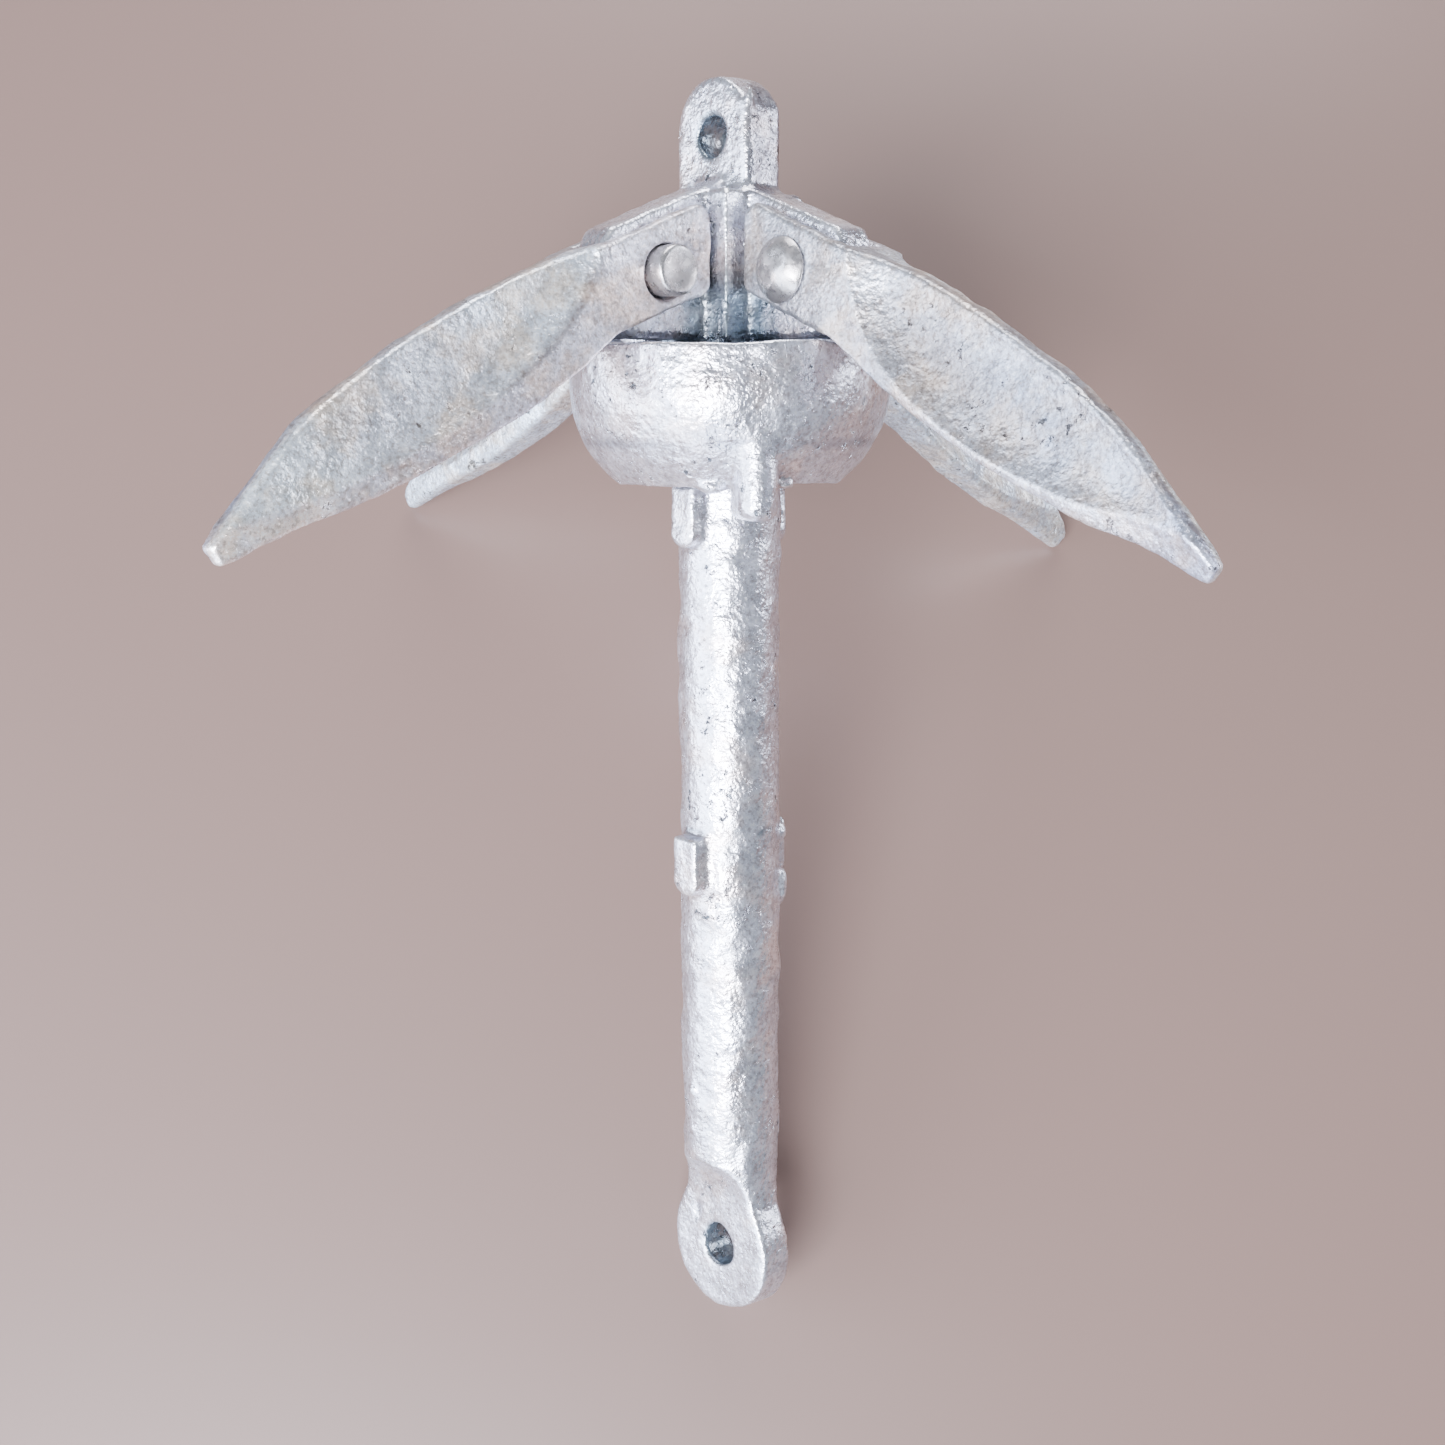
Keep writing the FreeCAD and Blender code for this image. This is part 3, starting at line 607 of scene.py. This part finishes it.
def worn_hole(block):
    """A crescent beside the rivet's tail, where the ear's hole is worn."""
    crescent = np.hypot(block.x - 0.7, block.z + 0.3) - EAR_HOLE_RADIUS - 0.1
    return np.maximum(crescent, FORK_WIDTH / 2 - 2.0 - block.y)


def lower_fluke_tint(points):
    """Painted sheen: the lower flukes are lighter and bluer than the upper ones."""
    return shade(np.ones(len(points)), LOWER_FLUKE_SHEEN)


def head_side_tint(x, z, heads):
    """Painted shade over the face and a painted highlight on the bevel; darker and bluer at the tip, beige
    with painted shade where the pan is deepest, and bluish beyond.
    """
    past = past_crease(x, z, HEAD_CREASE)
    # Painted shade over the whole head side, and a darker, bluer tip.
    face = shade(heads, HEAD_SIDE_SHADE) * shade(heads * between(x, 78, 94), HEAD_TIP)
    # Painted highlight: the bevel below the crease is lightened well past white.
    rim = shade(heads * between(past, 0.6, -0.6) * between(x, 30, 42), HEAD_BEVEL_HIGHLIGHT)
    # A beige tone, darkened as painted shade, where the pan is deepest.
    beige = shade(heads * spot(x, z, centre=(40, 1), spread=(20, 6)), PAN_BEIGE_SHADE)
    blue = shade(heads * spot(x, z, centre=(64, 5), spread=(16, 5)), PAN_BLUE)
    return face * rim * beige * blue


def tail_side_tint(x, z, tails):
    """Pinkish ears and rim, painted shade in the crease, a painted highlight on the ramp, and a lighter
    tip.
    """
    past = past_crease(x, z, TAIL_CREASE)
    rim = shade(tails * between(past, 0.6, -0.6), TAIL_RIM)
    # Painted shade along the crease near the ears.
    line = np.exp(-((past - 0.3) / 0.55) ** 2) * between(x, 48, 34) * between(x, 14, 17)
    # Painted highlight on the ramp below the crease; the tip is only lighter in colour.
    ramp = between(past, 0.8, 2.3) * between(x, 50, 30) * between(past, 24, 16)
    tip = between(x, 66, 90)
    ramp_highlight_and_tip = shade(tails * ramp, TAIL_RAMP_HIGHLIGHT) * shade(tails * tip, TAIL_TIP)
    return rim * shade(tails * line, CREASE_SHADE) * ramp_highlight_and_tip


def upper_fluke_tint(points):
    """Worn all over, and different on the head side and the tail side."""
    x, y, z = points.T
    heads = between(y, 0.5, -0.5)
    worn = shade(0.5 + 0.5 * wavy(points, pitch=7.0, phase=2.0), WORN)
    return worn * head_side_tint(x, z, heads) * tail_side_tint(x, z, 1 - heads)


def make_fluke(place, index):
    block = Block((-18, -9, -12), (107, 9, 17), FLUKE_STEP)
    edge = polygon(block.x, block.z, fluke_outline())
    tails = blade_half(block.x, block.z, edge, TAIL_CREASE, TAIL_BEVEL, TAIL_LIP)
    heads = blade_half(block.x, block.z, edge, HEAD_CREASE, HEAD_BEVEL, HEAD_LIP)
    half = np.where(block.y > 0, tails, heads)
    # The sides slope, so their distance is scaled down to a true one.
    sides = (np.abs(block.y) - half) * 0.93
    body = rounded(edge, sides, radius=1.0)
    body = cast_skin(body, block, FLUKE_LUMPS, seed=100 * (index + 1))
    body = cut(body, fork_slot(block), blend=0.7)
    body = cut(body, np.hypot(block.x, block.z) - EAR_HOLE_RADIUS, blend=0.5)
    body = cut(body, worn_hole(block), blend=0.4)
    tint = upper_fluke_tint if place.startswith("upper") else lower_fluke_tint
    return build("fluke_blade_" + place, body, block, hinge_frame(index, FLUKE_ANGLES[place]), tint)


# ---------------------------------------------------------------- rivets

def make_rivet(place, index):
    """A stem with a domed head at -Y and a closed tail at +Y, both a little dented."""
    block = Block((-8, -13, -8), (8, 13, 8), RIVET_STEP)
    radius = np.hypot(block.x, block.z)
    seat = FORK_WIDTH / 2 + SIDE_PLAY
    crown, tail = -seat - HEAD_RISE, seat + TAIL_RISE
    dome = (HEAD_RADIUS ** 2 + HEAD_RISE ** 2) / (2 * HEAD_RISE)
    head = np.sqrt(radius ** 2 + (block.y - crown - dome) ** 2) - dome
    head = both(head, block.y + seat - 0.05, blend=0.5)
    stem = rounded(radius - PIN_RADIUS, slab(block.y, -seat - 1, tail), radius=0.9)
    body = union(head, stem, blend=0.3)
    body = cut(body, ball(block, (1.6, crown - 0.2, 2.4), (2.4, 1.0, 2.0)), blend=1.0)
    body = cut(body, ball(block, (-2.4, crown - 0.1, -1.2), (2.2, 0.8, 3.0)), blend=0.9)
    body = cut(body, ball(block, (1.5, tail + 0.3, -1.0), (2.8, 0.7, 2.2)), blend=0.8)
    body = cast_skin(body, block, RIVET_LUMPS, seed=700 + 10 * index)
    return build("rivet_pin_" + place, body, block, hinge_frame(index))


# ---------------------------------------------------------------- materials

class Nodes:
    """Short calls for building one material's node tree."""

    def __init__(self, name):
        self.material = bpy.data.materials.new(name)
        self.material.use_nodes = True
        self.tree = self.material.node_tree
        self.surface = self.tree.nodes["Principled BSDF"]
        self.places = self.add("ShaderNodeTexCoord").outputs["Object"]

    def add(self, kind, **settings):
        node = self.tree.nodes.new(kind)
        for key, value in settings.items():
            setattr(node, key, value)
        return node

    def plug(self, node, socket, value):
        target = node.inputs[socket]
        if isinstance(value, bpy.types.NodeSocket):
            self.tree.links.new(value, target)
        else:
            target.default_value = value

    def noise(self, scale, detail, roughness, shift=0.0):
        """Noise in the object's own space, moved by a shift so that two noises differ."""
        node = self.add("ShaderNodeTexNoise")
        place = self.places
        if shift:
            moved = self.add("ShaderNodeVectorMath", operation="ADD")
            self.plug(moved, 0, place)
            moved.inputs[1].default_value = (shift, shift * 0.7, -shift)
            place = moved.outputs[0]
        self.plug(node, "Vector", place)
        self.plug(node, "Scale", scale)
        self.plug(node, "Detail", detail)
        self.plug(node, "Roughness", roughness)
        return node.outputs["Fac"]

    def band(self, value, low, high, start=0.0, end=1.0):
        """A value from start to end, stepping softly as the input goes from low to high."""
        node = self.add("ShaderNodeMapRange", interpolation_type="SMOOTHSTEP")
        self.plug(node, "Value", value)
        self.plug(node, "From Min", low)
        self.plug(node, "From Max", high)
        self.plug(node, "To Min", start)
        self.plug(node, "To Max", end)
        return node.outputs["Result"]

    def math(self, operation, a, b):
        node = self.add("ShaderNodeMath", operation=operation)
        self.plug(node, 0, a)
        self.plug(node, 1, b)
        return node.outputs[0]

    def mix(self, share, a, b, blend="MIX"):
        node = self.add("ShaderNodeMix", data_type="RGBA", blend_type=blend)
        self.plug(node, "Factor", share)
        # Sockets 6 and 7 are the two colours, and output 2 is the mixed one.
        for socket, value in ((6, a), (7, b)):
            self.plug(node, socket, value if isinstance(value, bpy.types.NodeSocket) else (*value, 1.0))
        return node.outputs[2]

    def bump(self, height, distance, strength=1.0, below=None):
        node = self.add("ShaderNodeBump")
        self.plug(node, "Height", height)
        self.plug(node, "Distance", distance)
        self.plug(node, "Strength", strength)
        if below is not None:
            self.plug(node, "Normal", below)
        return node.outputs["Normal"]

    def pointiness(self):
        """Under a half in hollows, over a half on crests."""
        return self.add("ShaderNodeNewGeometry").outputs["Pointiness"]


def darker(colour, share):
    return tuple(channel * share for channel in colour)


def zinc(name, cool, warm, shade_and_pits, metal, smooth, rough, warmth):
    """Hot-dip zinc on a casting: cool and warm greys, fine grain, dark pits, painted glints, painted shade
    in hollows and a painted highlight on crests.
    """
    n = Nodes(name)
    patches = n.noise(scale=75, detail=5, roughness=0.62)
    colour = n.mix(n.band(patches, 0.56 - warmth, 0.70 - warmth), cool, warm)
    clouds = n.noise(scale=230, detail=6, roughness=0.72, shift=0.31)
    colour = n.mix(n.band(clouds, 0.42, 0.62, end=0.62), colour, darker(cool, 0.58))
    speckle = n.noise(scale=1100, detail=4, roughness=0.75, shift=0.63)
    colour = n.mix(n.band(speckle, 0.50, 0.62, end=0.70), colour, darker(warm, 0.40))
    # Painted glints: some specks lighten towards near white.
    colour = n.mix(n.band(speckle, 0.36, 0.47, start=0.75, end=0.0), colour, SPARKLE)
    pits = n.band(n.noise(scale=400, detail=4, roughness=0.75, shift=0.83), 0.35, 0.41, start=1.0, end=0.0)
    clusters = n.band(n.noise(scale=70, detail=4, roughness=0.7, shift=0.17), 0.50, 0.58)
    pits = n.math("MULTIPLY", pits, clusters)
    hollows = n.pointiness()
    # Painted shade: hollows, by pointiness, darken towards the dark colour.
    colour = n.mix(n.band(hollows, 0.40, 0.485, start=0.95, end=0.0), colour, shade_and_pits)
    # Painted highlight: crests, by pointiness, lighten towards near white.
    colour = n.mix(n.band(hollows, 0.515, 0.58, end=0.7), colour, CREST_HIGHLIGHT)
    colour = n.mix(n.math("MULTIPLY", pits, 0.95), colour, shade_and_pits)
    tint = n.add("ShaderNodeAttribute", attribute_name="tint").outputs["Color"]
    n.plug(n.surface, "Base Color", n.mix(1.0, colour, tint, "MULTIPLY"))
    n.plug(n.surface, "Metallic", metal)
    wear = n.noise(scale=180, detail=5, roughness=0.65, shift=0.57)
    n.plug(n.surface, "Roughness", n.band(wear, 0.32, 0.70, smooth, rough))
    # Bumps, in metres: fine grain, coarse grain and pits.
    fine = n.bump(n.noise(scale=1600, detail=1, roughness=0.5), 0.000077)
    coarse = n.bump(n.noise(scale=760, detail=2, roughness=0.5, shift=0.44), 0.000264, below=fine)
    deep = n.bump(n.math("SUBTRACT", 1.0, pits), 0.0006, strength=0.9, below=coarse)
    n.plug(n.surface, "Normal", deep)
    return n.material


def bright_zinc():
    return zinc(
        "zinc_bright", BRIGHT_COOL, BRIGHT_WARM, BRIGHT_SHADE_AND_PITS,
        metal=0.92, smooth=0.22, rough=0.38, warmth=0.06,
    )


def dull_zinc():
    return zinc(
        "zinc_dull", DULL_COOL, DULL_WARM, DULL_SHADE_AND_PITS,
        metal=0.80, smooth=0.30, rough=0.48, warmth=0.10,
    )


def rivet_steel():
    """Smooth steel with faint streaks, and painted shade in its hollows, where it meets the ears."""
    n = Nodes("rivet_steel_finish")
    streaks = n.noise(scale=330, detail=4, roughness=0.6)
    colour = n.mix(n.band(streaks, 0.35, 0.7), STEEL_LIGHT, STEEL_DARK)
    # Painted shade: hollows, by pointiness, darken.
    colour = n.mix(n.band(n.pointiness(), 0.40, 0.49, start=0.7, end=0.0), colour, STEEL_SHADE)
    n.plug(n.surface, "Base Color", colour)
    n.plug(n.surface, "Metallic", 0.9)
    polish = n.noise(scale=600, detail=3, roughness=0.6, shift=0.2)
    n.plug(n.surface, "Roughness", n.band(polish, 0.3, 0.7, start=0.20, end=0.38))
    grain = n.noise(scale=900, detail=3, roughness=0.6, shift=0.7)
    n.plug(n.surface, "Normal", n.bump(grain, 0.00012, strength=0.6))
    return n.material


def floor_finish():
    n = Nodes("floor_finish")
    n.plug(n.surface, "Base Color", FLOOR_COLOUR)
    n.plug(n.surface, "Metallic", 0.0)
    n.plug(n.surface, "Roughness", FLOOR_ROUGHNESS)
    return n.material


# ---------------------------------------------------------------- stage, camera and light

def make_camera():
    data = bpy.data.cameras.new("camera")
    data.lens = CAMERA_LENS
    data.sensor_width = CAMERA_SENSOR
    data.clip_start = CAMERA_CLIP
    camera = bpy.data.objects.new("camera", data)
    turn = ANCHOR.to_3x3().normalized()
    back = -(turn @ Vector(CAMERA_LOOK)).normalized()
    right = (turn @ Vector(CAMERA_UP)).cross(back).normalized()
    up = back.cross(right)
    aim = Matrix((right, up, back)).transposed().to_4x4()
    camera.matrix_world = Matrix.Translation(ANCHOR @ Vector(CAMERA_PLACE)) @ aim
    bpy.context.scene.collection.objects.link(camera)
    bpy.context.scene.camera = camera


def make_floor():
    mesh = bpy.data.meshes.new("floor")
    corners = [(x * FLOOR_REACH, y * FLOOR_REACH, 0) for x, y in ((-1, -1), (1, -1), (1, 1), (-1, 1))]
    mesh.from_pydata(corners, [], [(0, 1, 2, 3)])
    floor = bpy.data.objects.new("floor", mesh)
    bpy.context.scene.collection.objects.link(floor)
    mesh.materials.append(floor_finish())


def add_light(name, place, size, power, colour):
    data = bpy.data.lights.new(name, "AREA")
    data.shape = "RECTANGLE"
    data.size, data.size_y = size
    data.energy = power
    data.color = colour
    light = bpy.data.objects.new(name, data)
    light.location = place
    light.rotation_euler = (Vector(LIGHT_AIM) - Vector(place)).to_track_quat("-Z", "Y").to_euler()
    bpy.context.scene.collection.objects.link(light)


def make_lights():
    world = bpy.data.worlds.new("studio")
    bpy.context.scene.world = world
    world.use_nodes = True
    background = world.node_tree.nodes["Background"]
    background.inputs["Color"].default_value = SKY_COLOUR
    background.inputs["Strength"].default_value = SKY_STRENGTH
    for row in LIGHTS:
        add_light(*row)


# ---------------------------------------------------------------- assembly

def dress(thing, material, node, body):
    thing.data.materials.append(material)
    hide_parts(node)
    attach(thing, body)


def main():
    bright = bright_zinc()
    dull = dull_zinc()
    steel = rivet_steel()
    dress(make_shank(), bright, "shank", "shank_body")
    dress(make_collar(), bright, "collar", "collar_body")
    for index, place in enumerate(PLACES):
        blade = make_fluke(place, index)
        dress(blade, dull, "fluke_" + place, "fluke_%s_body" % place)
        rivet = make_rivet(place, index)
        dress(rivet, steel, "rivet_" + place, "shank_body")
    make_floor()
    make_camera()
    make_lights()


main()
